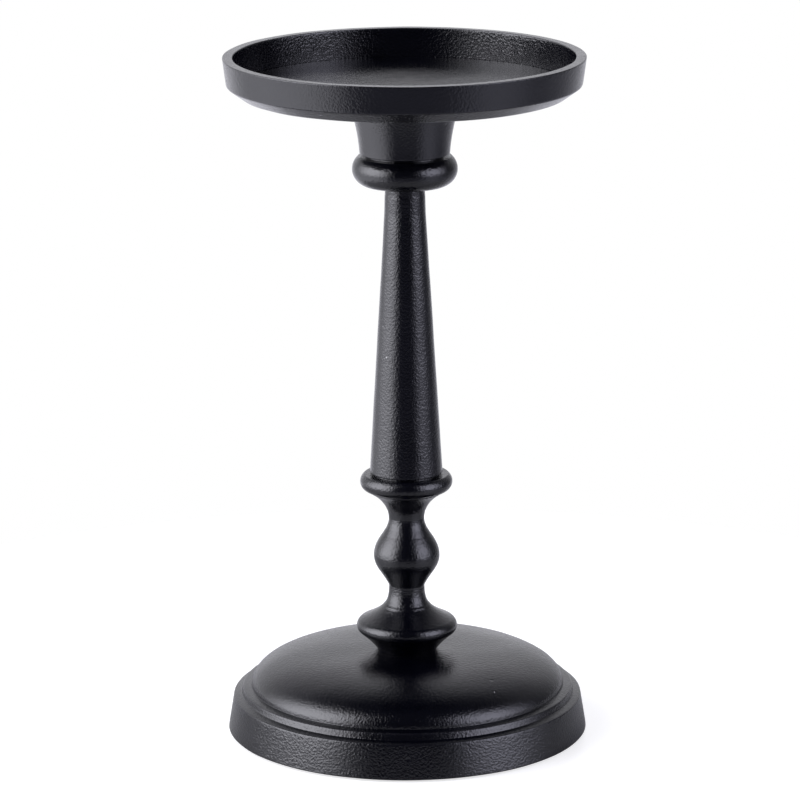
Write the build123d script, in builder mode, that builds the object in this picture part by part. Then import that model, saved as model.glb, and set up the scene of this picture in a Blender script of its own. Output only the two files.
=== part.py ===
from build123d import *
import os
from math import asin, cos, degrees, radians, sin

# Pillar candle holder: turned-looking castings stacked on one tie rod and clamped from below.
# Millimetres, +Z up, origin on the floor under the middle of the base.

# heights of the stack, from the floor up
pad_proud = 0.8  # how far the rubber feet stand below the base's edge
skirt_height = 12.1
ledge_rise = 2.9
dome_rise = 14.0
pedestal_height = 23.6
vase_height = 26.3
bead_height = 17.2
column_height = 106.3
neck_ring_height = 11.6
collar_height = 21.5
dish_height = 13.7

# base
base_radius = 65.9
skirt_taper = 1.9  # the skirt leans in by this much
ledge_width = 3.3
step_width = 3.6
crown_radius = 14.8  # flat middle of the dome
shoulder_rise = 8.0  # the dome leaves its foot upright, pulled by this much
shoulder_reach = 30.7  # and meets the flat crown, pulled by this much
base_wall = 3.0
base_boss_radius = 13.0
base_boss_drop = 5.0
edge_round = 0.4  # casting edges that show

# rubber feet
pad_count = 4
pad_radius = 4.5
pad_recess = 1.5
pad_edge_inset = 8.4  # foot centre to the base's outside edge
pad_round = 0.4
lug_rim = 1.5  # metal left round a foot
lug_bite = 0.5  # how far a lug runs into the ledge above it

# pedestal: a flange that spreads from a narrow foot and sweeps up to the neck
pedestal_foot_radius = 10.7
flange_radius = 18.34
flange_edge = 2.86  # radius of the flange's round edge
flange_mid = 9.1  # height of that edge's middle
flange_top_angle = 70.0
flange_under_angle = -60.0
ogee_radius = 8.55  # where the flange's upper curve turns over
ogee_height = 17.0
ogee_pull = (10.1, 14.7)
cove_pull = (6.6, 18.7)
foot_pull = (12.6, 3.0)

# vase
neck_radius = 6.5
vase_radius = 12.05
vase_belly = 12.2  # height of the widest place
vase_plain = 0.9  # short straight stretch at the bottom
vase_low_pull = ((8.85, 5.9), 4.3)
vase_high_pull = (6.1, (6.55, 21.0))

# lower bead with its cove
cove_radius = 13.55
cove_height = 10.0
cove_bead_pull = (6.7, 5.9)
bead_centre_radius = 13.44
bead_section = 3.37
bead_mid = 13.8

# shadow grooves round the two seats
groove_width = 1.1
column_groove = 0.6
collar_groove = 0.9

# column
column_foot_radius = 13.28
column_top_radius = 7.44
column_throat_radius = 7.21
throat_length = 10.0
column_wall = 3.2
column_web = 20.0  # solid length at the top
column_plug = 3.0  # the lower bead's plug reaches this far into the column

# neck ring
neck_bead_radius = 12.94
neck_bead_section = 6.03
neck_seat_inset = 2.2

# collar
collar_foot_radius = 16.22
collar_top_radius = 20.92
collar_pull = (16.9, 10.3)
collar_wall = 3.0
collar_web = 5.0
collar_cavity_radius = 12.5
register_depth = 2.0

# dish
dish_radius = 65.0
rim_width = 3.7
wall_flare = 1.3
chamfer_width = 5.4
chamfer_height = 3.9
floor_thickness = 3.1
well_draft = 0.7
register_width = 2.5
register_height = 1.5
dish_boss_radius = 9.0
dish_boss_length = 12.0
rim_round = 0.5

# tie rod and its hardware, M6
rod_diameter = 6.0
rod_end_chamfer = 0.6
rod_below_nut = 3.0
rod_end_gap = 2.0  # the rod stops this far short of the dish
tapped_end_gap = 1.5  # the tapped hole runs on past the rod
nut_sides = 6
nut_across_flats = 10.0
nut_height = 5.0
nut_chamfer_angle = 30.0
flat_washer_radius = 12.0
flat_washer_thickness = 1.6
lock_washer_radius = 5.9
lock_washer_thickness = 1.6
lock_washer_split = 1.2

# clearances
bore_clearance = 0.3  # rod in the castings' bores, on the radius
thread_clearance = 0.03
spigot_clearance = 0.1
socket_floor_clearance = 0.2
washer_clearance = 0.2
pad_clearance = 0.1

# spigots that centre one casting on the next
spigot_radius = 4.8
spigot_length = 2.0
wide_spigot_radius = 8.0

# levels
skirt_z = pad_proud
ledge_z = skirt_z + skirt_height
step_z = ledge_z + ledge_rise
crown_z = step_z + dome_rise
vase_z = crown_z + pedestal_height
bead_z = vase_z + vase_height
column_z = bead_z + bead_height
neck_ring_z = column_z + column_height
collar_z = neck_ring_z + neck_ring_height
dish_z = collar_z + collar_height
rim_z = dish_z + dish_height
boss_z = crown_z - base_wall - base_boss_drop
lock_washer_z = boss_z - flat_washer_thickness
nut_top_z = lock_washer_z - lock_washer_thickness
nut_z = nut_top_z - nut_height
rod_z = nut_z - rod_below_nut
rod_top_z = dish_z - rod_end_gap

# radii that follow from the ones above
rod_radius = rod_diameter / 2
bore_radius = rod_radius + bore_clearance
thread_radius = rod_radius + thread_clearance
socket_radius = spigot_radius + spigot_clearance
wide_socket_radius = wide_spigot_radius + spigot_clearance
socket_depth = spigot_length + socket_floor_clearance
skirt_top_radius = base_radius - skirt_taper
riser_radius = skirt_top_radius - ledge_width
dome_radius = riser_radius - step_width
register_radius = collar_top_radius - collar_wall
groove_seat_radius = column_foot_radius - groove_width
taper_length = column_height - throat_length
column_slope = (column_foot_radius - column_top_radius) / taper_length
core_radius = column_foot_radius - column_wall
column_plug_radius = core_radius - column_plug * column_slope - spigot_clearance
neck_seat_radius = collar_foot_radius - neck_seat_inset
pad_circle_radius = base_radius - pad_edge_inset
pad_start_angle = 180 / pad_count
pad_pocket_radius = pad_radius + pad_clearance
lug_radius = pad_pocket_radius + lug_rim


def circles_at(part, radius, height):
    """The part's circular edges of that radius at that height, for rounding."""
    near = 0.01
    return part.edges().filter_by(
        lambda e: e.geom_type == GeomType.CIRCLE
        and abs(e.radius - radius) < near
        and abs(e.center().Z - height) < near
    )


# base: a hollow casting with a stepped skirt, a boss for the rod and a lug over each foot
with BuildPart() as base_dome:
    with BuildSketch(Plane.XZ):
        with BuildLine():
            Polyline(
                (base_radius - base_wall, skirt_z),
                (base_radius, skirt_z),
                (skirt_top_radius, ledge_z),
                (riser_radius, ledge_z),
                (riser_radius, step_z),
                (dome_radius, step_z),
            )
            Bezier(
                (dome_radius, step_z),
                (dome_radius, step_z + shoulder_rise),
                (crown_radius + shoulder_reach, crown_z),
                (crown_radius, crown_z),
            )
            Polyline(
                (crown_radius, crown_z),
                (wide_socket_radius, crown_z),
                (wide_socket_radius, crown_z - socket_depth),
                (bore_radius, crown_z - socket_depth),
                (bore_radius, boss_z),
                (base_boss_radius, boss_z),
                (base_boss_radius, crown_z - base_wall),
                (crown_radius, crown_z - base_wall),
            )
            Bezier(
                (crown_radius, crown_z - base_wall),
                (crown_radius + shoulder_reach - base_wall, crown_z - base_wall),
                (dome_radius - base_wall, step_z + shoulder_rise - base_wall),
                (dome_radius - base_wall, step_z - base_wall),
            )
            Polyline(
                (dome_radius - base_wall, step_z - base_wall),
                (dome_radius - base_wall, ledge_z - base_wall),
                (skirt_top_radius - base_wall, ledge_z - base_wall),
                (base_radius - base_wall, skirt_z),
            )
        make_face()
    revolve(axis=Axis.Z)
    fillet(circles_at(base_dome, skirt_top_radius, ledge_z), edge_round)
    fillet(circles_at(base_dome, riser_radius, step_z), edge_round)
    fillet(circles_at(base_dome, base_radius, skirt_z), edge_round)
    with BuildSketch(Plane.XY.offset(skirt_z)):
        with PolarLocations(pad_circle_radius, pad_count, start_angle=pad_start_angle):
            Circle(lug_radius)
    extrude(amount=skirt_height - base_wall + lug_bite)
    with BuildSketch(Plane.XY.offset(skirt_z)):
        with PolarLocations(pad_circle_radius, pad_count, start_angle=pad_start_angle):
            Circle(pad_pocket_radius)
    extrude(amount=pad_recess, mode=Mode.SUBTRACT)
base_dome.part.label = "base_dome"

# rubber feet, pressed up into the lugs
with BuildPart() as foot_pads:
    with BuildSketch():
        with PolarLocations(pad_circle_radius, pad_count, start_angle=pad_start_angle):
            Circle(pad_radius)
    extrude(amount=pad_proud + pad_recess)
    fillet(foot_pads.edges().group_by(Axis.Z)[0], pad_round)
foot_pads.part.label = "foot_pads"

# pedestal: narrow foot, round-edged flange, then an ogee up to the neck
flange_centre = (flange_radius - flange_edge, crown_z + flange_mid)
flange_under = (
    flange_centre[0] + flange_edge * cos(radians(flange_under_angle)),
    flange_centre[1] + flange_edge * sin(radians(flange_under_angle)),
)
flange_top = (
    flange_centre[0] + flange_edge * cos(radians(flange_top_angle)),
    flange_centre[1] + flange_edge * sin(radians(flange_top_angle)),
)
with BuildPart() as pedestal:
    with BuildSketch(Plane.XZ):
        with BuildLine():
            Polyline(
                (bore_radius, crown_z - spigot_length),
                (wide_spigot_radius, crown_z - spigot_length),
                (wide_spigot_radius, crown_z),
                (pedestal_foot_radius, crown_z),
            )
            Bezier(
                (pedestal_foot_radius, crown_z),
                (foot_pull[0], crown_z + foot_pull[1]),
                flange_under,
            )
            CenterArc(
                flange_centre, flange_edge, flange_under_angle, flange_top_angle - flange_under_angle
            )
            Bezier(
                flange_top,
                (ogee_pull[0], crown_z + ogee_pull[1]),
                (ogee_radius, crown_z + ogee_height),
            )
            Bezier(
                (ogee_radius, crown_z + ogee_height),
                (cove_pull[0], crown_z + cove_pull[1]),
                (neck_radius, vase_z),
            )
            Polyline(
                (neck_radius, vase_z),
                (socket_radius, vase_z),
                (socket_radius, vase_z - socket_depth),
                (bore_radius, vase_z - socket_depth),
                (bore_radius, crown_z - spigot_length),
            )
        make_face()
    revolve(axis=Axis.Z)
pedestal.part.label = "pedestal"

# vase: a belly between two necks, with a spigot below and a socket above
belly_z = vase_z + vase_belly
with BuildPart() as vase:
    with BuildSketch(Plane.XZ):
        with BuildLine():
            Polyline(
                (bore_radius, vase_z - spigot_length),
                (spigot_radius, vase_z - spigot_length),
                (spigot_radius, vase_z),
                (neck_radius, vase_z),
                (neck_radius, vase_z + vase_plain),
            )
            Bezier(
                (neck_radius, vase_z + vase_plain),
                (vase_low_pull[0][0], vase_z + vase_low_pull[0][1]),
                (vase_radius, belly_z - vase_low_pull[1]),
                (vase_radius, belly_z),
            )
            Bezier(
                (vase_radius, belly_z),
                (vase_radius, belly_z + vase_high_pull[0]),
                (vase_high_pull[1][0], vase_z + vase_high_pull[1][1]),
                (neck_radius, bead_z),
            )
            Polyline(
                (neck_radius, bead_z),
                (socket_radius, bead_z),
                (socket_radius, bead_z - socket_depth),
                (bore_radius, bead_z - socket_depth),
                (bore_radius, vase_z - spigot_length),
            )
        make_face()
    revolve(axis=Axis.Z)
vase.part.label = "vase"

# lower bead: cove, half-round bead, groove, and a plug that centres the column
bead_centre = (bead_centre_radius, bead_z + bead_mid)
bead_groove_z = column_z - column_groove
bead_groove_angle = degrees(asin((bead_groove_z - bead_centre[1]) / bead_section))
bead_groove_radius = bead_centre[0] + bead_section * cos(radians(bead_groove_angle))
bead_under_angle = -90 + degrees(asin((cove_radius - bead_centre_radius) / bead_section))
bead_under_z = bead_centre[1] + bead_section * sin(radians(bead_under_angle))
with BuildPart() as lower_bead:
    with BuildSketch(Plane.XZ):
        with BuildLine():
            Polyline(
                (bore_radius, bead_z - spigot_length),
                (spigot_radius, bead_z - spigot_length),
                (spigot_radius, bead_z),
                (neck_radius, bead_z),
            )
            Bezier(
                (neck_radius, bead_z),
                (cove_bead_pull[0], bead_z + cove_bead_pull[1]),
                (cove_radius, bead_z + cove_height),
            )
            Line((cove_radius, bead_z + cove_height), (cove_radius, bead_under_z))
            CenterArc(
                bead_centre, bead_section, bead_under_angle, bead_groove_angle - bead_under_angle
            )
            Polyline(
                (bead_groove_radius, bead_groove_z),
                (groove_seat_radius, bead_groove_z),
                (groove_seat_radius, column_z),
                (column_plug_radius, column_z),
                (column_plug_radius, column_z + column_plug),
                (bore_radius, column_z + column_plug),
                (bore_radius, bead_z - spigot_length),
            )
        make_face()
    revolve(axis=Axis.Z)
lower_bead.part.label = "lower_bead"

# column: a long taper, cored from below, solid at the top
core_top = column_height - column_web
core_top_radius = core_radius - core_top * column_slope
with BuildPart() as column:
    with BuildSketch(Plane.XZ):
        with BuildLine():
            Polyline(
                (core_radius, column_z),
                (column_foot_radius, column_z),
                (column_top_radius, column_z + taper_length),
                (column_throat_radius, neck_ring_z),
                (socket_radius, neck_ring_z),
                (socket_radius, neck_ring_z - socket_depth),
                (bore_radius, neck_ring_z - socket_depth),
                (bore_radius, column_z + core_top),
                (core_top_radius, column_z + core_top),
                (core_radius, column_z),
            )
        make_face()
    revolve(axis=Axis.Z)
    fillet(circles_at(column, column_foot_radius, column_z), edge_round)
    fillet(circles_at(column, column_throat_radius, neck_ring_z), edge_round)
column.part.label = "column"

# neck ring: a fat bead, grooved under the collar
neck_centre = (neck_bead_radius, neck_ring_z + neck_bead_section)
neck_groove_z = collar_z - collar_groove
neck_groove_angle = degrees(asin((neck_groove_z - neck_centre[1]) / neck_bead_section))
neck_groove_radius = neck_centre[0] + neck_bead_section * cos(radians(neck_groove_angle))
with BuildPart() as neck_ring:
    with BuildSketch(Plane.XZ):
        with BuildLine():
            Polyline(
                (bore_radius, neck_ring_z - spigot_length),
                (spigot_radius, neck_ring_z - spigot_length),
                (spigot_radius, neck_ring_z),
                (neck_bead_radius, neck_ring_z),
            )
            CenterArc(neck_centre, neck_bead_section, -90, 90 + neck_groove_angle)
            Polyline(
                (neck_groove_radius, neck_groove_z),
                (neck_seat_radius, neck_groove_z),
                (neck_seat_radius, collar_z),
                (wide_socket_radius, collar_z),
                (wide_socket_radius, collar_z - socket_depth),
                (bore_radius, collar_z - socket_depth),
                (bore_radius, neck_ring_z - spigot_length),
            )
        make_face()
    revolve(axis=Axis.Z)
neck_ring.part.label = "neck_ring"

# collar: a hollow cup that flares up to the dish
with BuildPart() as collar:
    with BuildSketch(Plane.XZ):
        with BuildLine():
            Polyline(
                (bore_radius, collar_z - spigot_length),
                (wide_spigot_radius, collar_z - spigot_length),
                (wide_spigot_radius, collar_z),
                (collar_foot_radius, collar_z),
            )
            Bezier(
                (collar_foot_radius, collar_z),
                (collar_pull[0], collar_z + collar_pull[1]),
                (collar_top_radius, dish_z),
            )
            Polyline(
                (collar_top_radius, dish_z),
                (register_radius, dish_z),
                (register_radius, dish_z - register_depth),
                (collar_cavity_radius, collar_z + collar_web),
                (bore_radius, collar_z + collar_web),
                (bore_radius, collar_z - spigot_length),
            )
        make_face()
    revolve(axis=Axis.Z)
    fillet(circles_at(collar, collar_foot_radius, collar_z), edge_round)
collar.part.label = "collar"

# dish: a flat floor in an upright rim, with a register ring and a tapped boss underneath
wall_foot_radius = dish_radius - wall_flare
well_radius = dish_radius - rim_width
floor_z = dish_z + floor_thickness
ring_radius = register_radius - spigot_clearance
with BuildPart() as dish:
    with BuildSketch(Plane.XZ):
        with BuildLine():
            Polyline(
                (0, dish_z - dish_boss_length),
                (dish_boss_radius, dish_z - dish_boss_length),
                (dish_boss_radius, dish_z),
                (ring_radius - register_width, dish_z),
                (ring_radius - register_width, dish_z - register_height),
                (ring_radius, dish_z - register_height),
                (ring_radius, dish_z),
                (wall_foot_radius - chamfer_width, dish_z),
                (wall_foot_radius, dish_z + chamfer_height),
                (dish_radius, rim_z),
                (well_radius, rim_z),
                (well_radius - well_draft, floor_z),
                (0, floor_z),
                (0, dish_z - dish_boss_length),
            )
        make_face()
    revolve(axis=Axis.Z)
    fillet(circles_at(dish, dish_radius, rim_z), rim_round)
    fillet(circles_at(dish, well_radius, rim_z), rim_round)
    fillet(circles_at(dish, wall_foot_radius, dish_z + chamfer_height), edge_round)
    fillet(circles_at(dish, wall_foot_radius - chamfer_width, dish_z), edge_round)
    with BuildSketch(Plane.XY.offset(dish_z - dish_boss_length)):
        Circle(thread_radius)
    extrude(amount=dish_boss_length - rod_end_gap + tapped_end_gap, mode=Mode.SUBTRACT)
dish.part.label = "dish"

# tie rod: threaded into the dish's boss above and into the nut below
with BuildPart() as tie_rod:
    with BuildSketch(Plane.XY.offset(rod_z)):
        Circle(rod_radius)
    extrude(amount=rod_top_z - rod_z)
    chamfer(tie_rod.edges().filter_by(GeomType.CIRCLE), rod_end_chamfer)
tie_rod.part.label = "tie_rod"

# flat washer against the base's boss
with BuildPart() as flat_washer:
    with BuildSketch(Plane.XY.offset(lock_washer_z)):
        Circle(flat_washer_radius)
        Circle(rod_radius + washer_clearance, mode=Mode.SUBTRACT)
    extrude(amount=flat_washer_thickness)
flat_washer.part.label = "flat_washer"

# split lock washer, closed flat by the nut
with BuildPart() as lock_washer:
    with BuildSketch(Plane.XY.offset(nut_top_z)):
        Circle(lock_washer_radius)
        Circle(rod_radius + washer_clearance, mode=Mode.SUBTRACT)
        with Locations((lock_washer_radius, 0)):
            Rectangle(2 * lock_washer_radius, lock_washer_split, mode=Mode.SUBTRACT)
    extrude(amount=lock_washer_thickness)
lock_washer.part.label = "lock_washer"

# hex nut, its corners turned off at both ends
nut_flat_radius = nut_across_flats / 2
nut_corner_radius = nut_flat_radius / cos(radians(180 / nut_sides))
corner_drop = (nut_corner_radius - nut_flat_radius) * sin(radians(nut_chamfer_angle))
with BuildPart() as clamp_nut:
    with BuildSketch(Plane.XY.offset(nut_z)):
        RegularPolygon(nut_flat_radius, nut_sides, major_radius=False)
        Circle(thread_radius, mode=Mode.SUBTRACT)
    extrude(amount=nut_height)
    with BuildSketch(Plane.XZ):
        with BuildLine():
            Polyline(
                (0, nut_z),
                (nut_flat_radius, nut_z),
                (nut_corner_radius, nut_z + corner_drop),
                (nut_corner_radius, nut_top_z - corner_drop),
                (nut_flat_radius, nut_top_z),
                (0, nut_top_z),
                (0, nut_z),
            )
        make_face()
    revolve(axis=Axis.Z, mode=Mode.INTERSECT)
clamp_nut.part.label = "clamp_nut"

os.makedirs("parts", exist_ok=True)
for piece in (
    base_dome,
    foot_pads,
    pedestal,
    vase,
    lower_bead,
    column,
    neck_ring,
    collar,
    dish,
    tie_rod,
    flat_washer,
    lock_washer,
    clamp_nut,
):
    export_step(piece.part, f"parts/{piece.part.label}.step")
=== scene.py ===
from math import radians

import bpy
import numpy as np
from mathutils import Matrix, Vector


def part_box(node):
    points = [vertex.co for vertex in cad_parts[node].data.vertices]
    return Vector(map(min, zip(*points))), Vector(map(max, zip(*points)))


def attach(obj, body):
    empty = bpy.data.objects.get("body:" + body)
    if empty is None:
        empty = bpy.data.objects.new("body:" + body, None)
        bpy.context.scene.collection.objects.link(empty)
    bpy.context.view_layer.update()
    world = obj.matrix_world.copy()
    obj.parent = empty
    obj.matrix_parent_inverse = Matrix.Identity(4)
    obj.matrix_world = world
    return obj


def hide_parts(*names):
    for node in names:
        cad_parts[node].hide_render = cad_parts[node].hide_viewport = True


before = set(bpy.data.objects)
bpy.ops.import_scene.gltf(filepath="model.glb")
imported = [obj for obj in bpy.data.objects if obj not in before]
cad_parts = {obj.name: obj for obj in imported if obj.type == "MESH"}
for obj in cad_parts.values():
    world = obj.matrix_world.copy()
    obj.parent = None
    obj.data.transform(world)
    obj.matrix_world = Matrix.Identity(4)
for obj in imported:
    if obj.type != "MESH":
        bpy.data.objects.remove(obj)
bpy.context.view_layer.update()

# Outlines and sizes below are in millimetres, with z up from the floor. Blender's are metres.
mm = 0.001

# Levels and outer radii come from the frame, so each casting meets its neighbour where the CAD says.
topOf = {name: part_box(name)[1].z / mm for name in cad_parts}
lowOf = {name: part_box(name)[0].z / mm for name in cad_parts}
outOf = {name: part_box(name)[1].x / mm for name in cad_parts}
skirtFoot = lowOf["base_dome"]
crown = topOf["base_dome"]
vaseFoot = topOf["pedestal"]
beadFoot = topOf["vase"]
columnFoot = lowOf["column"]
neckFoot = topOf["column"]
collarFoot = topOf["neck_ring"]
dishFoot = topOf["collar"]
rim = topOf["dish"]

# What every casting shares.
casting = {
    "cutPoints": 12,
    "cutLimit": 0.45,         # a cut corner takes at most this share of a run
    "curvePoints": 160,
    "arcPoints": 120,
    "sameWithin": 1e-9,       # points nearer than this count as one
    "fineStep": 0.04,         # an outline is first walked at this step
    "soften": 0.09,           # the coat rounds every corner by about this much
    "softenReach": 4,         # how many times that far the running mean looks
    "gather": 14.0,           # how strongly points gather where the outline bends
    "gatherTurn": 0.35,
    "waveHeight": 0.03,       # slow unevenness of a sand casting
    "waveLengths": (11.0, 30.0),
    "waveCount": 14,
    "seed": 71,
    "edgeFrom": 0.5,          # turning, per mm, at which an edge starts to count as one
    "edgeGain": 0.9,
    "edgeReach": 0.5,         # how far the painted edge highlight spreads from an edge
    "bore": 3.3,
    "spigot": 4.8,
    "socket": 4.9,
    "wideSpigot": 8.0,
    "wideSocket": 8.1,
    "spigotDrop": 2.0,
    "socketDrop": 2.2,
    "neck": 6.5,
}


def straight(*corners, cut=0.0):
    # Straight runs from corner to corner. With a cut, the path leaves each inner corner that far before
    # it and meets the next run that far after it, along a quadratic Bezier with the corner as its pull.
    p = np.array(corners, float)
    if cut == 0 or len(p) < 3:
        return p
    runs = np.diff(p, axis=0)
    lengths = np.hypot(*runs.T)
    t = np.linspace(0, 1, casting["cutPoints"])[:, None]
    rows = [p[:1]]
    for i in range(1, len(p) - 1):
        before = p[i] - runs[i - 1] * min(cut / lengths[i - 1], casting["cutLimit"])
        after = p[i] + runs[i] * min(cut / lengths[i], casting["cutLimit"])
        rows.append((1 - t) ** 2 * before + 2 * t * (1 - t) * p[i] + t ** 2 * after)
    return np.vstack(rows + [p[-1:]])


def curve(*pulls):
    # A Bezier on three or four points: each point weighed by its Bernstein share at t.
    p = np.array(pulls, float)
    t = np.linspace(0, 1, casting["curvePoints"])[:, None]
    if len(p) == 3:
        return (1 - t) ** 2 * p[0] + 2 * t * (1 - t) * p[1] + t ** 2 * p[2]
    early = (1 - t) ** 3 * p[0] + 3 * t * (1 - t) ** 2 * p[1]
    return early + 3 * t ** 2 * (1 - t) * p[2] + t ** 3 * p[3]


def arc(centre, radius, start, end):
    # A round stretch: centre plus radius times (cosine, sine) of an angle that runs from start to end.
    a = np.radians(np.linspace(start, end, casting["arcPoints"]))
    return np.column_stack((centre[0] + radius * np.cos(a), centre[1] + radius * np.sin(a)))


def outline(strokes, count, onAxis):
    # Strokes joined end to end, walked at an even fine step, softened by a Gaussian running mean, then
    # resampled. The new spacing is even in length times (1 + gather x bend), where bend grows with the
    # turning from 0 to 1, so corners get the points they need. Returns the points, and at each how much
    # of an outer edge it is, from 0 to 1.
    p = np.vstack(strokes)
    if not onAxis:
        p = np.vstack((p, p[:1]))
    p = p[np.r_[True, np.hypot(*np.diff(p, axis=0).T) > casting["sameWithin"]]]
    s = np.r_[0, np.cumsum(np.hypot(*np.diff(p, axis=0).T))]
    even = np.linspace(0, s[-1], int(s[-1] / casting["fineStep"]), endpoint=onAxis)
    q = np.column_stack((np.interp(even, s, p[:, 0]), np.interp(even, s, p[:, 1])))
    reach = int(casting["softenReach"] * casting["soften"] / casting["fineStep"]) + 1
    apart = np.arange(-reach, reach + 1) * casting["fineStep"]
    share = np.exp(-0.5 * (apart / casting["soften"]) ** 2)
    share /= share.sum()
    if onAxis:  # past the axis the outline goes on as its own mirror image
        mirror = np.array((-1, 1))
        q = np.vstack((q[reach:0:-1] * mirror, q, q[-2:-reach - 2:-1] * mirror))
    else:
        q = np.vstack((q[-reach:], q, q[:reach]))
    q = np.column_stack([np.convolve(v, share, "valid") for v in q.T])
    ahead = np.gradient(q, axis=0)
    if onAxis:
        q[[0, -1], 0] = 0
    else:
        ahead = (np.roll(q, -1, 0) - np.roll(q, 1, 0)) / 2
    step = np.hypot(*ahead.T)
    turning = np.gradient(np.unwrap(np.arctan2(ahead[:, 1], ahead[:, 0]))) / step
    turning[[0, -1]] = 0
    edge = np.clip((turning - casting["edgeFrom"]) * casting["edgeGain"], 0, 1)
    spread = int(casting["edgeReach"] / casting["fineStep"])
    blur = np.hanning(2 * spread + 1)
    edge = np.convolve(np.pad(edge, spread, "edge" if onAxis else "wrap"), blur / blur.sum(), "valid")
    bend = np.clip(np.abs(turning) * casting["gatherTurn"], 0, 1)
    weight = step * (1 + casting["gather"] * bend)
    walked = np.cumsum(weight) - weight[0]
    total = walked[-1] if onAxis else walked[-1] + weight[0]
    at = np.linspace(0, total, count, endpoint=onAxis)
    loop = None if onAxis else total
    found = [np.interp(at, walked, v, period=loop) for v in (q[:, 0], q[:, 1], edge)]
    return np.column_stack(found[:2]), found[2]


def castWaves(points):
    # The casting's unevenness at each point, in mm: a sum of sine waves, each with a direction, length
    # and phase drawn from the seed, times the wave height over the root of their number.
    draw = np.random.default_rng(casting["seed"])
    count = casting["waveCount"]
    way = draw.normal(size=(count, 3))
    way /= np.linalg.norm(way, axis=1)[:, None]
    way *= 2 * np.pi / draw.uniform(*casting["waveLengths"], (count, 1))
    phase = draw.uniform(0, 2 * np.pi, count)
    return casting["waveHeight"] * np.sin(points @ way.T + phase).sum(1) / np.sqrt(count)


def turned(strokes, count, around, onAxis=False, wavy=True, rings=(), at=(0, 0)):
    # The outline carried round an axis: x is r cos(turn), y is r sin(turn) and z stays. Turning rings
    # come first, each a Gaussian dip in the outer radius at its height. A wavy solid is then moved along
    # its normals by castWaves.
    shape, edge = outline(strokes, count, onAxis)
    for height, depth, width in rings:
        outside = shape[:, 0] > casting["socket"]
        shape[:, 0] -= outside * depth * np.exp(-0.5 * ((shape[:, 1] - height) / width) ** 2)
    ahead = np.gradient(shape, axis=0) if onAxis else np.roll(shape, -1, 0) - np.roll(shape, 1, 0)
    ahead /= np.hypot(*ahead.T)[:, None]
    rows = slice(1, -1) if onAxis else slice(None)
    ring, way = shape[rows], ahead[rows]
    turn = np.linspace(0, 2 * np.pi, around, endpoint=False)
    level = np.ones(around)
    spokes = (np.cos(turn), np.sin(turn), level)
    grid = [np.outer(v, spoke) for v, spoke in zip((ring[:, 0], ring[:, 0], ring[:, 1]), spokes)]
    points = np.stack(grid, -1).reshape(-1, 3)
    if wavy:
        facing = [np.outer(v, spoke) for v, spoke in zip((way[:, 1], way[:, 1], -way[:, 0]), spokes)]
        points += np.stack(facing, -1).reshape(-1, 3) * castWaves(points)[:, None]
    index = np.arange(len(points)).reshape(-1, around)
    low, high = (index[:-1], index[1:]) if onAxis else (index, np.roll(index, -1, 0))
    faces = np.stack((low, np.roll(low, -1, 1), np.roll(high, -1, 1), high), -1).reshape(-1, 4).tolist()
    edge = np.repeat(edge[rows], around)
    if onAxis:  # each end of the outline is one point, joined to its nearest ring by triangles
        first, last = index[0], index[-1]
        start, end = np.full(around, len(points)), np.full(around, len(points) + 1)
        faces += np.stack((start, np.roll(first, -1), first), -1).tolist()
        faces += np.stack((last, np.roll(last, -1), end), -1).tolist()
        points = np.vstack((points, (0, 0, shape[0, 1]), (0, 0, shape[-1, 1])))
        edge = np.r_[edge, 0, 0]
    return {"points": points + (*at, 0), "faces": faces, "edge": edge}


def solid(name, grids, material, node):
    # One mesh from one or more grids put end to end. It stands for the CAD node and rides on the one
    # body.
    start = np.cumsum([0] + [len(g["points"]) for g in grids])
    faces = [[i + first for i in face] for g, first in zip(grids, start) for face in g["faces"]]
    mesh = bpy.data.meshes.new(name)
    mesh.from_pydata((np.vstack([g["points"] for g in grids]) * mm).tolist(), [], faces)
    edge = mesh.attributes.new("edge", "FLOAT", "POINT")
    edge.data.foreach_set("value", np.concatenate([g["edge"] for g in grids]).astype(np.float32))
    mesh.polygons.foreach_set("use_smooth", [True] * len(mesh.polygons))
    mesh.materials.append(material)
    piece = bpy.data.objects.new(name, mesh)
    bpy.context.scene.collection.objects.link(piece)
    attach(piece, "root")
    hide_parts(node)
    print("made", name, "with", len(mesh.vertices), "points")
    return piece


# The camera stands in front of the holder and looks down on it a little, with a hair of roll.
camera = {
    "away": 1.565,
    "aside": -0.00216,
    "height": 0.51363,
    "lookDown": 13.99,
    "roll": -0.29,
    "lens": 200.07,
    "sensor": 36.0,
    "seesTo": 20,
}


def makeCamera():
    data = bpy.data.cameras.new("camera")
    data.lens = camera["lens"]
    data.sensor_width = camera["sensor"]
    data.clip_end = camera["seesTo"]
    eye = bpy.data.objects.new("camera", data)
    tilt = Matrix.Rotation(radians(90 - camera["lookDown"]), 4, "X")
    roll = Matrix.Rotation(radians(camera["roll"]), 4, "Z")
    place = Matrix.Translation((camera["aside"], -camera["away"], camera["height"]))
    eye.matrix_world = place @ tilt @ roll
    bpy.context.scene.collection.objects.link(eye)
    bpy.context.scene.camera = eye
    bpy.context.scene.view_settings.view_transform = "Standard"
    print("camera set")


def put(tree, kind, inputs=None, **settings):
    # Adds a node, with its settings and inputs. An input that is a socket is linked, and any other is a
    # value.
    node = tree.nodes.new("ShaderNode" + kind)
    for name, value in settings.items():
        setattr(node, name, value)
    for name, value in (inputs or {}).items():
        if isinstance(value, bpy.types.NodeSocket):
            tree.links.new(value, node.inputs[name])
        else:
            node.inputs[name].default_value = value
    return node


def maths(tree, operation, *values):
    return put(tree, "Math", dict(enumerate(values)), operation=operation).outputs[0]


def remap(tree, value, fromLow, fromHigh, toLow, toHigh):
    ends = {"Value": value, "From Min": fromLow, "From Max": fromHigh, "To Min": toLow, "To Max": toHigh}
    return put(tree, "MapRange", ends, interpolation_type="SMOOTHSTEP").outputs["Result"]


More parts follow.
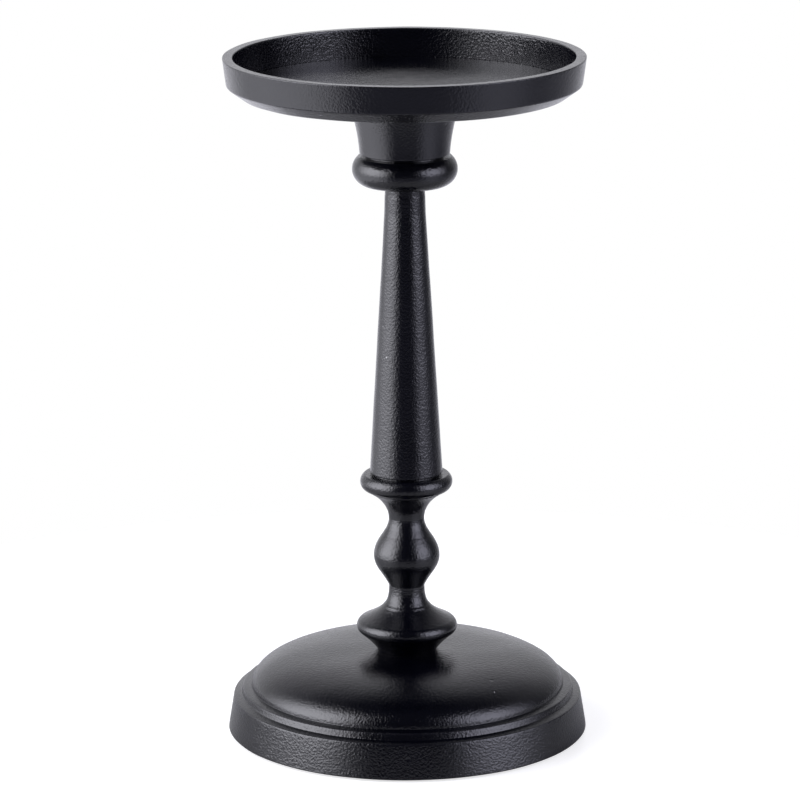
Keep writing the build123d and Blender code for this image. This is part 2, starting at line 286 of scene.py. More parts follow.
def blendColour(tree, share, first, second):
    return put(tree, "Mix", {0: share, 6: first, 7: second}, data_type="RGBA").outputs[2]


def startGroup(name, inputs, outputs):
    tree = bpy.data.node_groups.new(name, "ShaderNodeTree")
    for label, kind in inputs.items():
        tree.interface.new_socket(name=label, in_out="INPUT", socket_type="NodeSocket" + kind)
    for label in outputs:
        tree.interface.new_socket(name=label, in_out="OUTPUT", socket_type="NodeSocketFloat")
    return tree, tree.nodes.new("NodeGroupInput").outputs, tree.nodes.new("NodeGroupOutput").inputs


def placeGroup(tree, group, inputs):
    return put(tree, "Group", inputs, node_tree=group).outputs


# What the node groups share. What sets one finish apart from another is in its own dictionary.
texture = {
    "peelDetail": 1.0,
    "peelRoughness": 0.5,
    "grainDetail": 2.0,
    "pitEnds": (0.0, 0.13),    # how far from the middle of its cell a pit begins to rise and ends
    "pitDepth": -1.3,
    "speckEnds": (0.02, 0.05),
    "speckHeight": 0.15,
    "cloudDetail": 4.0,
    "cloudRoughness": 0.6,
    "cloudDistortion": 0.4,
    "cloudEnds": (0.3, 0.7),
    "edgeDetail": 3.0,
    "edgeEnds": (0.3, 0.65),
    "edgeLeast": 0.35,
}


def makeSkinGroup():
    # Height of a coated surface: orange peel, plus a share of fine grain, less a few round pits, plus
    # low specks. Scales are in cells a metre. Pits and specks each sit in the spot share of the cells,
    # which the cell's own random colour picks.
    x = texture
    tree, given, out = startGroup(
        "coatSkin",
        {"Position": "Vector", "Peel": "Float", "Grain": "Float", "Grain Share": "Float", "Spots": "Float",
         "Spot Share": "Float"},
        ("Height", "Specks"),
    )
    peel = put(tree, "TexNoise", {"Vector": given["Position"], "Scale": given["Peel"],
                                  "Detail": x["peelDetail"], "Roughness": x["peelRoughness"]}).outputs[0]
    grain = put(tree, "TexNoise", {"Vector": given["Position"], "Scale": given["Grain"],
                                   "Detail": x["grainDetail"]}).outputs[0]
    cell = put(tree, "TexVoronoi", {"Vector": given["Position"], "Scale": given["Spots"]})
    luck = put(tree, "SeparateColor", {"Color": cell.outputs["Color"]}).outputs
    line = maths(tree, "SUBTRACT", 1.0, given["Spot Share"])
    pitted = maths(tree, "GREATER_THAN", luck[0], line)
    specked = maths(tree, "GREATER_THAN", luck[1], line)
    distance = cell.outputs["Distance"]
    hollow = maths(tree, "MULTIPLY", pitted, remap(tree, distance, *x["pitEnds"], 1.0, 0.0))
    dot = maths(tree, "MULTIPLY", specked, remap(tree, distance, *x["speckEnds"], 1.0, 0.0))
    height = maths(tree, "MULTIPLY_ADD", grain, given["Grain Share"], peel)
    height = maths(tree, "MULTIPLY_ADD", hollow, x["pitDepth"], height)
    height = maths(tree, "MULTIPLY_ADD", dot, x["speckHeight"], height)
    tree.links.new(height, out["Height"])
    tree.links.new(dot, out["Specks"])
    return tree


def makeCloudGroup():
    # Slow, cloudy unevenness of a finish, from 0 to 1.
    x = texture
    tree, given, out = startGroup("finishCloud", {"Position": "Vector", "Scale": "Float"}, ("Cloud",))
    noise = put(tree, "TexNoise", {"Vector": given["Position"], "Scale": given["Scale"],
                                   "Detail": x["cloudDetail"], "Roughness": x["cloudRoughness"],
                                   "Distortion": x["cloudDistortion"]}).outputs[0]
    tree.links.new(remap(tree, noise, *x["cloudEnds"], 0.0, 1.0), out["Cloud"])
    return tree


def makeEdgeGroup():
    # A painted highlight on outer edges: the edge attribute times broken-up noise times the amount.
    x = texture
    inputs = {"Position": "Vector", "Scale": "Float", "Amount": "Float"}
    tree, given, out = startGroup("paintedEdgeHighlight", inputs, ("Mask",))
    edge = put(tree, "Attribute", attribute_name="edge").outputs["Fac"]
    noise = put(tree, "TexNoise", {"Vector": given["Position"], "Scale": given["Scale"],
                                   "Detail": x["edgeDetail"]}).outputs[0]
    broken = maths(tree, "MULTIPLY", edge, remap(tree, noise, *x["edgeEnds"], x["edgeLeast"], 1.0))
    tree.links.new(maths(tree, "MULTIPLY", broken, given["Amount"]), out["Mask"])
    return tree


def startMaterial(name):
    material = bpy.data.materials.new(name)
    material.use_nodes = True
    tree = material.node_tree
    tree.nodes.clear()
    shader = tree.nodes.new("ShaderNodeBsdfPrincipled")
    tree.links.new(shader.outputs[0], tree.nodes.new("ShaderNodeOutputMaterial").inputs["Surface"])
    return material, tree, shader, put(tree, "TexCoord").outputs["Object"]


def layFinish(tree, shader, position, groups, c):
    # What every finish has: a relief from the skin group, and a roughness that follows the cloud.
    # Returns the cloud and the specks for the colour.
    skin = placeGroup(tree, groups["skin"], {"Position": position, "Peel": c["peel"], "Grain": c["grain"],
                                             "Grain Share": c["grainShare"], "Spots": c["spots"],
                                             "Spot Share": c["spotShare"]})
    cloud = placeGroup(tree, groups["cloud"], {"Position": position, "Scale": c["cloud"]})["Cloud"]
    tree.links.new(remap(tree, cloud, 0.0, 1.0, *c["roughness"]), shader.inputs["Roughness"])
    bump = put(tree, "Bump", {"Height": skin["Height"], "Distance": c["relief"], "Strength": 1.0})
    tree.links.new(bump.outputs[0], shader.inputs["Normal"])
    return cloud, skin["Specks"]


blackCoat = {
    "deep": (0.0004, 0.0005, 0.0016, 1),
    "lean": (0.0010, 0.0011, 0.0028, 1),
    # painted highlight: the paler colour that outer edges are mixed towards
    "edgeHighlight": (0.010, 0.010, 0.013, 1),
    # pale colour of the specks: a painted glint on their raised bumps
    "speckGlint": (0.30, 0.30, 0.30, 1),
    "roughness": (0.13, 0.19),
    "peel": 1250.0,
    "grain": 4200.0,
    "grainShare": 0.2,
    "spots": 130.0,
    "spotShare": 0.05,
    "relief": 0.00013,
    "cloud": 38.0,
    "edge": 900.0,
    "edgeHighlightAmount": 0.55,
    "ior": 1.5,
}


def makeBlackCoat(groups):
    # Glossy powder coat: near-black with a cold cast, cloudy in tone and gloss, with a painted highlight
    # that makes outer edges paler.
    c = blackCoat
    material, tree, shader, position = startMaterial("black_coat")
    cloud, specks = layFinish(tree, shader, position, groups, c)
    # Painted highlight: outer edges, picked by the edge attribute, are mixed towards a paler colour in
    # place of the glint a rounded edge catches.
    edgeHighlightInputs = {"Position": position, "Scale": c["edge"], "Amount": c["edgeHighlightAmount"]}
    edgeHighlight = placeGroup(tree, groups["edge"], edgeHighlightInputs)["Mask"]
    colour = blendColour(tree, cloud, c["deep"], c["lean"])
    colour = blendColour(tree, edgeHighlight, colour, c["edgeHighlight"])
    # Painted highlight: the raised specks are coloured pale, as glints where small bumps catch the light.
    tree.links.new(blendColour(tree, specks, colour, c["speckGlint"]), shader.inputs["Base Color"])
    shader.inputs["IOR"].default_value = c["ior"]
    return material


zincSteel = {
    "bright": (0.60, 0.61, 0.63, 1),
    "dull": (0.42, 0.42, 0.42, 1),
    "roughness": (0.26, 0.44),
    "peel": 900.0,
    "grain": 5200.0,
    "grainShare": 0.8,
    "relief": 0.000012,
    "spots": 160.0,
    "spotShare": 0.0,
    "cloud": 160.0,
}


def makeZincSteel(groups):
    # Bright zinc plate: blotchy where the plating dulls, over a fine tumbled grain. It has no specks.
    c = zincSteel
    material, tree, shader, position = startMaterial("zinc_steel")
    cloud = layFinish(tree, shader, position, groups, c)[0]
    tree.links.new(blendColour(tree, cloud, c["bright"], c["dull"]), shader.inputs["Base Color"])
    shader.inputs["Metallic"].default_value = 1.0
    return material


footRubber = {
    "clean": (0.016, 0.016, 0.016, 1),
    "dusty": (0.045, 0.044, 0.042, 1),
    "roughness": (0.62, 0.8),
    "peel": 1400.0,
    "grain": 6000.0,
    "grainShare": 0.6,
    "relief": 0.00002,
    "spots": 220.0,
    "spotShare": 0.0,
    "cloud": 220.0,
}


def makeFootRubber(groups):
    # Moulded rubber: matte, finely grained, greyer where dust has settled. It has no specks.
    c = footRubber
    material, tree, shader, position = startMaterial("foot_rubber")
    cloud = layFinish(tree, shader, position, groups, c)[0]
    tree.links.new(blendColour(tree, cloud, c["clean"], c["dusty"]), shader.inputs["Base Color"])
    return material


makeCamera()
groups = {"skin": makeSkinGroup(), "cloud": makeCloudGroup(), "edge": makeEdgeGroup()}
coat = makeBlackCoat(groups)
zinc = makeZincSteel(groups)
rubber = makeFootRubber(groups)
print("materials made")


base = {
    "points": 290,
    "around": 280,
    "skirtHeight": 12.65,
    "skirtTaper": 2.08,
    "ledgeWidth": 2.75,
    "ledgeSlope": 0.65,
    "riserHeight": 2.3,
    "riserLean": 0.6,
    "stepWidth": 3.0,
    "stepSlope": 0.5,
    "crownRadius": 14.8,
    "shoulderRise": 6.5,
    "shoulderReach": 30.7,
    "wall": 3.0,
    "bossRadius": 13.0,
    "bossDrop": 5.0,
    "corner": 0.3,
    "innerCorner": 1.2,
    "lugCount": 4,
    "lugInset": 8.4,
    "lugRadius": 6.1,
    "lugBite": 0.5,
    "lugPoints": 50,
    "lugAround": 56,
    "pocketRadius": 4.6,
    "pocketDepth": 1.5,
}


def makeBase():
    # A hollow stepped skirt under a low dome, open below, with a boss for the rod and a cup over each
    # foot. Both steps slope up a little towards the dome, and the riser between them leans in.
    b, c = base, casting
    wall = b["wall"]
    ledge = skirtFoot + b["skirtHeight"]
    riserFoot = ledge + b["ledgeSlope"]
    riserTop = riserFoot + b["riserHeight"]
    step = riserTop + b["stepSlope"]
    outer = outOf["base_dome"]
    skirtTop = outer - b["skirtTaper"]
    riser = skirtTop - b["ledgeWidth"]
    dome = riser - b["riserLean"] - b["stepWidth"]
    reach = b["crownRadius"] + b["shoulderReach"]
    boss = crown - wall - b["bossDrop"]
    strokes = [
        straight(
            (outer - wall, skirtFoot), (outer, skirtFoot), (skirtTop, ledge), (riser, riserFoot),
            (riser - b["riserLean"], riserTop), (dome, step), cut=b["corner"],
        ),
        curve((dome, step), (dome, step + b["shoulderRise"]), (reach, crown), (b["crownRadius"], crown)),
        straight(
            (b["crownRadius"], crown), (c["wideSocket"], crown),
            (c["wideSocket"], crown - c["socketDrop"]), (c["bore"], crown - c["socketDrop"]),
            (c["bore"], boss),
        ),
        straight(
            (c["bore"], boss), (b["bossRadius"], boss), (b["bossRadius"], crown - wall),
            (b["crownRadius"], crown - wall), cut=b["corner"],
        ),
        curve(
            (b["crownRadius"], crown - wall), (reach - wall, crown - wall),
            (dome - wall, step + b["shoulderRise"] - wall), (dome - wall, step - wall),
        ),
        straight(
            (dome - wall, step - wall), (dome - wall, ledge - wall), (skirtTop - wall, ledge - wall),
            (outer - wall, skirtFoot), cut=b["innerCorner"],
        ),
    ]
    grids = [turned(strokes, b["points"], b["around"])]
    top = ledge - wall + b["lugBite"]
    cup = [
        straight(
            (0, skirtFoot + b["pocketDepth"]), (b["pocketRadius"], skirtFoot + b["pocketDepth"]),
            (b["pocketRadius"], skirtFoot), (b["lugRadius"], skirtFoot), (b["lugRadius"], top), (0, top),
            cut=b["corner"] / 2,
        ),
    ]
    for place in footPlaces():
        grids.append(turned(cup, b["lugPoints"], b["lugAround"], onAxis=True, at=place))
    return solid("base_casting", grids, coat, "base_dome")


def footPlaces():
    # The feet stand on a circle inside the skirt, on the diagonals.
    turn = 2 * np.pi * (np.arange(base["lugCount"]) + 0.5) / base["lugCount"]
    circle = outOf["base_dome"] - base["lugInset"]
    return np.column_stack((circle * np.cos(turn), circle * np.sin(turn)))


foot = {
    "points": 60,
    "around": 64,
    "radius": 4.5,
    "round": 0.5,
    "dishing": 0.25,
    "dishRadius": 3.1,
    "dishPull": 2.25,
}


def makeFeet():
    # Each foot is a short plug with a rolled edge. Its face is slightly hollow, so that it grips by its
    # rim.
    f = foot
    top = topOf["foot_pads"]
    ground = lowOf["foot_pads"]
    hollow = ground + f["dishing"]
    strokes = [
        curve((0, hollow), (f["dishPull"], hollow), (f["dishRadius"], ground)),
        straight(
            (f["dishRadius"], ground), (f["radius"], ground), (f["radius"], top), (0, top), cut=f["round"],
        ),
    ]
    size = (f["points"], f["around"])
    grids = [turned(strokes, *size, onAxis=True, wavy=False, at=place) for place in footPlaces()]
    return solid("rubber_feet", grids, rubber, "foot_pads")


pedestal = {
    "points": 380,
    "around": 224,
    "footRadius": 10.7,
    "footPull": (12.6, 3.0),
    "edge": 2.86,
    "edgeHeight": 9.1,
    "edgeFrom": -60.0,
    "edgeTo": 70.0,
    "ogee": (8.55, 17.0),
    "ogeePull": (10.1, 14.7),
    "covePull": (6.6, 18.7),
    "rings": ((-4.9, 0.05, 0.22), (-6.1, 0.035, 0.2), (-7.3, 0.05, 0.25)),
}


def makePedestal():
    # A narrow foot opens into a flange with a round edge, then an ogee draws in to the neck.
    p, c = pedestal, casting
    centre = (outOf["pedestal"] - p["edge"], crown + p["edgeHeight"])
    rounded = arc(centre, p["edge"], p["edgeFrom"], p["edgeTo"])
    ogee = (p["ogee"][0], crown + p["ogee"][1])
    strokes = [
        straight(
            (c["bore"], crown - c["spigotDrop"]), (c["wideSpigot"], crown - c["spigotDrop"]),
            (c["wideSpigot"], crown), (p["footRadius"], crown),
        ),
        curve((p["footRadius"], crown), (p["footPull"][0], crown + p["footPull"][1]), rounded[0]),
        rounded,
        curve(rounded[-1], (p["ogeePull"][0], crown + p["ogeePull"][1]), ogee),
        curve(ogee, (p["covePull"][0], crown + p["covePull"][1]), (c["neck"], vaseFoot)),
        straight(
            (c["neck"], vaseFoot), (c["socket"], vaseFoot), (c["socket"], vaseFoot - c["socketDrop"]),
            (c["bore"], vaseFoot - c["socketDrop"]), (c["bore"], crown - c["spigotDrop"]),
        ),
    ]
    rings = [(vaseFoot + height, depth, width) for height, depth, width in p["rings"]]
    grid = turned(strokes, p["points"], p["around"], rings=rings)
    return solid("pedestal_casting", [grid], coat, "pedestal")


vase = {
    "points": 360,
    "around": 208,
    "belly": 12.2,
    "plain": 0.9,
    "lowPull": (8.85, 5.9),
    "lowSwell": 4.3,
    "highSwell": 6.1,
    "highPull": (6.55, 21.0),
    "rings": ((-1.7, 0.04, 0.2), (-3.8, 0.05, 0.22), (-6.0, 0.06, 0.25)),
}


def makeVase():
    # A belly between two necks: an S curve swells out from the lower one and another draws in to the
    # upper.
    v, c = vase, casting
    belly = vaseFoot + v["belly"]
    wide = outOf["vase"]
    strokes = [
        straight(
            (c["bore"], vaseFoot - c["spigotDrop"]), (c["spigot"], vaseFoot - c["spigotDrop"]),
            (c["spigot"], vaseFoot), (c["neck"], vaseFoot), (c["neck"], vaseFoot + v["plain"]),
        ),
        curve(
            (c["neck"], vaseFoot + v["plain"]), (v["lowPull"][0], vaseFoot + v["lowPull"][1]),
            (wide, belly - v["lowSwell"]), (wide, belly),
        ),
        curve(
            (wide, belly), (wide, belly + v["highSwell"]), (v["highPull"][0], vaseFoot + v["highPull"][1]),
            (c["neck"], beadFoot),
        ),
        straight(
            (c["neck"], beadFoot), (c["socket"], beadFoot), (c["socket"], beadFoot - c["socketDrop"]),
            (c["bore"], beadFoot - c["socketDrop"]), (c["bore"], vaseFoot - c["spigotDrop"]),
        ),
    ]
    rings = [(beadFoot + height, depth, width) for height, depth, width in v["rings"]]
    grid = turned(strokes, v["points"], v["around"], rings=rings)
    return solid("vase_casting", [grid], coat, "vase")


lowerBead = {
    "points": 360,
    "around": 240,
    "coveRadius": 13.55,
    "coveHeight": 10.0,
    "covePull": (6.7, 5.9),
    "section": 3.37,
    "middle": 13.8,
    "grooveDrop": 0.6,
    "seatRadius": 12.18,
    "plugRadius": 9.78,
    "plugRise": 3.0,
}


def makeLowerBead():
    # A cove flares up from the neck to a half-round bead, with a shadow groove and a plug for the
    # column above.
    b, c = lowerBead, casting
    centre = (outOf["lower_bead"] - b["section"], beadFoot + b["middle"])
    groove = columnFoot - b["grooveDrop"]
    under = np.degrees(np.arcsin((b["coveRadius"] - centre[0]) / b["section"])) - 90
    over = np.degrees(np.arcsin((groove - centre[1]) / b["section"]))
    strokes = [
        straight(
            (c["bore"], beadFoot - c["spigotDrop"]), (c["spigot"], beadFoot - c["spigotDrop"]),
            (c["spigot"], beadFoot), (c["neck"], beadFoot),
        ),
        curve((c["neck"], beadFoot), (b["covePull"][0], beadFoot + b["covePull"][1]),
              (b["coveRadius"], beadFoot + b["coveHeight"])),
        arc(centre, b["section"], under, over),
        straight(
            (b["seatRadius"], groove), (b["seatRadius"], columnFoot), (b["plugRadius"], columnFoot),
            (b["plugRadius"], columnFoot + b["plugRise"]), (c["bore"], columnFoot + b["plugRise"]),
            (c["bore"], beadFoot - c["spigotDrop"]),
        ),
    ]
    grid = turned(strokes, b["points"], b["around"])
    return solid("lower_bead_casting", [grid], coat, "lower_bead")


column = {
    "points": 420,
    "around": 224,
    "topRadius": 7.44,
    "throatRadius": 7.21,
    "throat": 10.0,
    "wall": 3.2,
    "web": 20.0,
    "coreTopRadius": 4.87,
    "corner": 0.45,
    "rings": ((-2.9, 0.07, 0.55),),
}


def makeColumn():
    # A long taper with a short straighter throat, cored from below and solid at the top.
    k, c = column, casting
    footRadius = outOf["column"]
    coreTop = neckFoot - k["web"]
    strokes = [
        straight(
            (footRadius - k["wall"], columnFoot), (footRadius, columnFoot),
            (k["topRadius"], neckFoot - k["throat"]), (k["throatRadius"], neckFoot),
            (c["socket"], neckFoot), (c["socket"], neckFoot - c["socketDrop"]), cut=k["corner"],
        ),
        straight(
            (c["bore"], neckFoot - c["socketDrop"]), (c["bore"], coreTop), (k["coreTopRadius"], coreTop),
            (footRadius - k["wall"], columnFoot),
        ),
    ]
    rings = [(neckFoot + height, depth, width) for height, depth, width in k["rings"]]
    grid = turned(strokes, k["points"], k["around"], rings=rings)
    return solid("column_casting", [grid], coat, "column")


neckRing = {
    "points": 340,
    "around": 256,
    "section": 6.03,
    "grooveDrop": 0.9,
    "seatRadius": 14.02,
}


def makeNeckRing():
    # A fat bead: flat below, most of a half circle round its side, then a shadow groove under the
    # collar.
    n, c = neckRing, casting
    centre = (outOf["neck_ring"] - n["section"], neckFoot + n["section"])
    groove = collarFoot - n["grooveDrop"]
    over = np.degrees(np.arcsin((groove - centre[1]) / n["section"]))
    strokes = [
        straight(
            (c["bore"], neckFoot - c["spigotDrop"]), (c["spigot"], neckFoot - c["spigotDrop"]),
            (c["spigot"], neckFoot), (centre[0], neckFoot),
        ),
        arc(centre, n["section"], -90, over),
        straight(
            (n["seatRadius"], groove), (n["seatRadius"], collarFoot), (c["wideSocket"], collarFoot),
            (c["wideSocket"], collarFoot - c["socketDrop"]), (c["bore"], collarFoot - c["socketDrop"]),
            (c["bore"], neckFoot - c["spigotDrop"]),
        ),
    ]
    grid = turned(strokes, n["points"], n["around"])
    return solid("neck_ring_casting", [grid], coat, "neck_ring")


collar = {
    "points": 340,
    "around": 256,
    "footRadius": 16.22,
    "pull": (16.9, 10.3),
    "wall": 3.0,
    "web": 5.0,
    "cavityRadius": 12.5,
    "registerDrop": 2.0,
    "corner": 0.45,
    "flareSkip": 8,           # how many of the flare's points give way to the rolled corner
}


def makeCollar():
    # A hollow cup that flares up to the dish, its lower corner rolled.
    k, c = collar, casting
    topRadius = outOf["collar"]
    register = topRadius - k["wall"]
    pull = (k["pull"][0], collarFoot + k["pull"][1])
    flare = curve((k["footRadius"], collarFoot), pull, (topRadius, dishFoot))
    start = flare[k["flareSkip"]]
    strokes = [
        straight(
            (c["bore"], collarFoot - c["spigotDrop"]), (c["wideSpigot"], collarFoot - c["spigotDrop"]),
            (c["wideSpigot"], collarFoot),
        ),
        straight((c["wideSpigot"], collarFoot), (k["footRadius"], collarFoot), start, cut=k["corner"]),
        flare[k["flareSkip"]:],
        straight(
            (topRadius, dishFoot), (register, dishFoot), (register, dishFoot - k["registerDrop"]),
            (k["cavityRadius"], collarFoot + k["web"]), (c["bore"], collarFoot + k["web"]),
            (c["bore"], collarFoot - c["spigotDrop"]),
        ),
    ]
    grid = turned(strokes, k["points"], k["around"])
    return solid("collar_casting", [grid], coat, "collar")


dish = {
    "points": 330,
    "around": 288,
    "rimWidth": 3.7,
    "flare": 1.3,
    "chamferWidth": 5.4,
    "chamferHeight": 3.9,
    "floor": 3.1,
    "draft": 0.7,
    "registerRadius": 17.82,
    "registerWidth": 2.5,
    "registerDrop": 1.5,
    "bossRadius": 9.0,
    "bossLength": 12.0,
    "tapRadius": 3.03,
    "tapEnd": 0.5,
    "corner": 0.4,
    "creaseWidth": 0.45,
    "creaseDepth": 0.35,
}


def makeDish():
    # A flat floor in an upright rim that leans out a little, chamfered below, with a register ring and
    # a tapped boss under it. A fine crease runs where the floor meets the wall. The outline starts and
    # ends on the axis.
    d = dish
    outer = outOf["dish"]
    wallFoot = outer - d["flare"]
    well = outer - d["rimWidth"]
    boss = dishFoot - d["bossLength"]
    ringOut = d["registerRadius"]
    ringIn = ringOut - d["registerWidth"]
    floor = dishFoot + d["floor"]
    middle = (well - d["draft"] / 2, (rim + floor) / 2)
    wellFoot = well - d["draft"]
    crease = floor - d["creaseDepth"]
    strokes = [
        straight(
            (0, dishFoot - d["tapEnd"]), (d["tapRadius"], dishFoot - d["tapEnd"]), (d["tapRadius"], boss),
            (d["bossRadius"], boss), (d["bossRadius"], dishFoot), (ringIn, dishFoot),
            (ringIn, dishFoot - d["registerDrop"]), (ringOut, dishFoot - d["registerDrop"]),
            (ringOut, dishFoot),
        ),
        straight(
            (ringOut, dishFoot), (wallFoot - d["chamferWidth"], dishFoot),
            (wallFoot, dishFoot + d["chamferHeight"]), (outer, rim), (well, rim), middle, cut=d["corner"],
        ),
        straight(
            middle, (wellFoot, floor), (wellFoot, crease), (wellFoot - d["creaseWidth"] / 2, crease),
            (wellFoot - d["creaseWidth"], floor), (0, floor),
        ),
    ]
    grid = turned(strokes, d["points"], d["around"], onAxis=True)
    return solid("dish_casting", [grid], coat, "dish")


tieRod = {
    "pitch": 1.0,
    "threadDepth": 0.61,
    "chamfer": 0.6,
    "around": 48,
    "threadLength": 18.0,
    "rowsPerPitch": 12,
    "plainRows": 40,
    "flankGain": 1.35,
    "crestFlat": 0.12,
}


def makeTieRod():
    # A rod threaded at both ends. Its radius is that of the crest less the thread's depth times a
    # trapezoid wave of (height / pitch - turn), which is the helix. The wave fades out over one pitch
    # where the plain shank starts.
    t = tieRod
    low, high, crest = lowOf["tie_rod"], topOf["tie_rod"], outOf["tie_rod"]
    rows = int(t["threadLength"] / t["pitch"] * t["rowsPerPitch"])
    z = np.concatenate((
        np.linspace(low, low + t["threadLength"], rows),
        np.linspace(low + t["threadLength"], high - t["threadLength"], t["plainRows"])[1:-1],
        np.linspace(high - t["threadLength"], high, rows),
    ))
    turn = np.linspace(0, 2 * np.pi, t["around"], endpoint=False)
    inward = np.minimum(z - low, high - z)
    threaded = np.clip((t["threadLength"] - inward) / t["pitch"], 0, 1)
    wave = (z[:, None] / t["pitch"] - turn / (2 * np.pi)) % 1
    groove = np.clip((1 - 2 * np.abs(wave - 0.5)) * t["flankGain"] - t["crestFlat"], 0, 1)
    radius = crest - threaded[:, None] * t["threadDepth"] * groove
    radius = np.minimum(radius, crest - t["chamfer"] + np.minimum(inward, t["chamfer"])[:, None])
    level = z[:, None] * np.ones(t["around"])
    points = np.stack((radius * np.cos(turn), radius * np.sin(turn), level), -1)
    index = np.arange(points[..., 0].size).reshape(len(z), -1)
    lower, upper = index[:-1], index[1:]
    quads = np.stack((lower, np.roll(lower, -1, 1), np.roll(upper, -1, 1), upper), -1)
    faces = quads.reshape(-1, 4).tolist()
    bottom, top = np.full(t["around"], index.size), np.full(t["around"], index.size + 1)
    faces += np.stack((bottom, np.roll(index[0], -1), index[0]), -1).tolist()
    faces += np.stack((index[-1], np.roll(index[-1], -1), top), -1).tolist()
    points = np.vstack((points.reshape(-1, 3), (0, 0, low), (0, 0, high)))
    grid = {"points": points, "faces": faces, "edge": np.zeros(len(points))}
    return solid("tie_rod_threaded", [grid], zinc, "tie_rod")


def coatHardware():
    # The nut and washers keep their CAD shapes and take the plated finish.
    for name in ("clamp_nut", "flat_washer", "lock_washer"):
        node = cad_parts[name]
        for place in node.material_slots:
            place.material = zinc
    print("hardware plated")


makeBase()
makeFeet()
makePedestal()
makeVase()
makeLowerBead()
makeColumn()
makeNeckRing()
makeCollar()
makeDish()
makeTieRod()
coatHardware()


studio = {
    "floorRadius": 0.30,
    "floorAround": 128,
    "floorColour": (0.5, 0.5, 0.5, 1),
    "floorGloss": 0.15,        # how much of the floor's light is a soft reflection
    "floorRoughness": 0.3,
    "floorLift": 0.7,          # what a camera ray gets on top, so that the pale floor reads as white
    "floorShine": 0.02,        # what a glossy or transmitted ray gets on top
    "dim": (0.28, 0.045),      # the room all round, well below the horizon and above it
    "dimRise": (-28, 4),
    "dimCold": 0.25,
    "backdrop": 0.87,
    "backdropLean": -0.85,     # how fast it darkens to the right
    "backdropTurn": (84, 116),
    "backdropRise": (18, 68),
    "backdropCold": 0.05,
}

# Each soft box fills a window, in degrees. Turn goes round z from the camera's side, with right
# positive: where the light begins, is full, starts to fade and ends. Foot is where it starts to rise
# from its share under the horizon and is full. Top is where it starts to fade upwards and ends. Cold is
# the share of blue that it adds.
boxes = {
    "left": {
        "strength": 6.7, "turn": (-128, -80, -66, -27), "foot": (-14, 3), "top": (32, 70), "under": 0.32,
        "cold": 0.08,
    },
    "right": {
        "strength": 3.9, "turn": (28, 57, 62, 108), "foot": (-8, 3), "top": (31, 60), "under": 0.16,
        "cold": 0.20,
    },
}


def makeFloor():
    # A pale disc. It takes the object's shadow, and Light Path lifts it to white for the camera.
    s = studio
    turn = np.linspace(0, 2 * np.pi, s["floorAround"], endpoint=False)
    points = np.column_stack((np.cos(turn), np.sin(turn), 0 * turn)) * s["floorRadius"]
    mesh = bpy.data.meshes.new("floor")
    mesh.from_pydata(points.tolist(), [], [list(range(len(points)))])
    material = bpy.data.materials.new("pale_floor")
    material.use_nodes = True
    tree = material.node_tree
    tree.nodes.clear()
    path = put(tree, "LightPath").outputs
    seen = maths(tree, "ADD", path["Is Glossy Ray"], path["Is Transmission Ray"])
    lift = maths(tree, "MULTIPLY", path["Is Camera Ray"], s["floorLift"])
    lift = maths(tree, "MULTIPLY_ADD", seen, s["floorShine"], lift)
    matte = put(tree, "BsdfDiffuse", {"Color": s["floorColour"]}).outputs[0]
    satin = put(tree, "BsdfAnisotropic", {"Roughness": s["floorRoughness"]}).outputs[0]
    paint = put(tree, "MixShader", {0: s["floorGloss"], 1: matte, 2: satin}).outputs[0]
    glow = put(tree, "Emission", {"Strength": lift}).outputs[0]
    both = put(tree, "AddShader", {0: paint, 1: glow}).outputs[0]
    tree.links.new(both, tree.nodes.new("ShaderNodeOutputMaterial").inputs["Surface"])
    mesh.materials.append(material)
    floor = bpy.data.objects.new("floor", mesh)
    bpy.context.scene.collection.objects.link(floor)
    print("floor laid")


def ramp(tree, angle, ends, low, high):
    # From low to high as an angle in radians goes from the first end to the second, both in degrees.
    return remap(tree, angle, radians(ends[0]), radians(ends[1]), low, high)


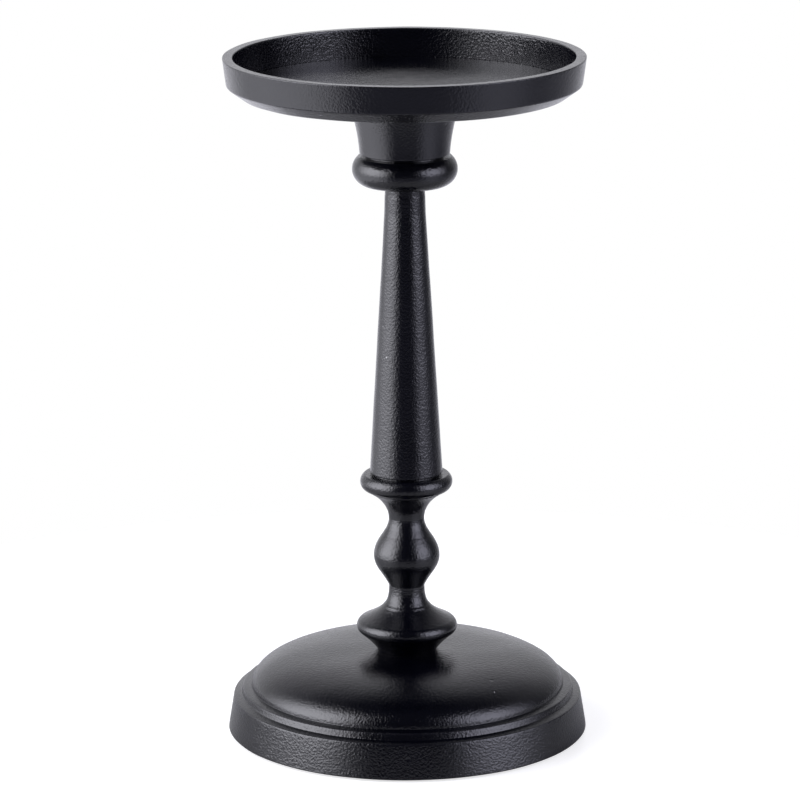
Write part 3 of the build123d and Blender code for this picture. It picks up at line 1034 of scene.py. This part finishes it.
def makeStudio():
    # Soft light by direction: a dim room all round, a white backdrop behind, and a large soft box on
    # each side. Colour is (light, light, light + cold), where each part adds its own share of cold.
    # Camera and transmitted rays see plain white.
    s = studio
    world = bpy.data.worlds.new("studio")
    bpy.context.scene.world = world
    world.use_nodes = True
    tree = world.node_tree
    tree.nodes.clear()
    way = put(tree, "TexCoord").outputs["Generated"]
    part = put(tree, "SeparateXYZ", {"Vector": way}).outputs
    turn = maths(tree, "ARCTAN2", part["X"], maths(tree, "MULTIPLY", part["Y"], -1.0))
    away = maths(tree, "ABSOLUTE", turn)
    rise = maths(tree, "ARCSINE", part["Z"])
    dim = ramp(tree, rise, s["dimRise"], *s["dim"])
    right = maths(tree, "MAXIMUM", part["X"], 0.0)
    lean = maths(tree, "MULTIPLY_ADD", right, s["backdropLean"], s["backdrop"])
    lean = maths(tree, "MAXIMUM", lean, 0.0)
    back = maths(tree, "MULTIPLY", lean, ramp(tree, away, s["backdropTurn"], 0.0, 1.0))
    back = maths(tree, "MULTIPLY", back, ramp(tree, rise, s["backdropRise"], 1.0, 0.0))
    light = maths(tree, "ADD", dim, back)
    cold = maths(tree, "MULTIPLY", back, s["backdropCold"])
    cold = maths(tree, "MULTIPLY_ADD", dim, s["dimCold"], cold)
    for box in boxes.values():
        begins, full, fades, ends = box["turn"]
        across = ramp(tree, turn, (begins, full), 0.0, 1.0)
        across = maths(tree, "MULTIPLY", across, ramp(tree, turn, (fades, ends), 1.0, 0.0))
        upright = ramp(tree, rise, box["foot"], box["under"], 1.0)
        upright = maths(tree, "MULTIPLY", upright, ramp(tree, rise, box["top"], 1.0, 0.0))
        glow = maths(tree, "MULTIPLY", maths(tree, "MULTIPLY", across, upright), box["strength"])
        light = maths(tree, "ADD", light, glow)
        cold = maths(tree, "MULTIPLY_ADD", glow, box["cold"], cold)
    blue = maths(tree, "ADD", light, cold)
    colour = put(tree, "CombineXYZ", {"X": light, "Y": light, "Z": blue}).outputs[0]
    path = put(tree, "LightPath").outputs
    white = maths(tree, "ADD", path["Is Camera Ray"], path["Is Transmission Ray"])
    lit = put(tree, "Background", {"Color": colour, "Strength": 1.0}).outputs[0]
    plain = put(tree, "Background", {"Color": (1, 1, 1, 1), "Strength": 1.0}).outputs[0]
    seen = put(tree, "MixShader", {0: white, 1: lit, 2: plain}).outputs[0]
    tree.links.new(seen, tree.nodes.new("ShaderNodeOutputWorld").inputs["Surface"])
    print("studio lit")


makeFloor()
makeStudio()
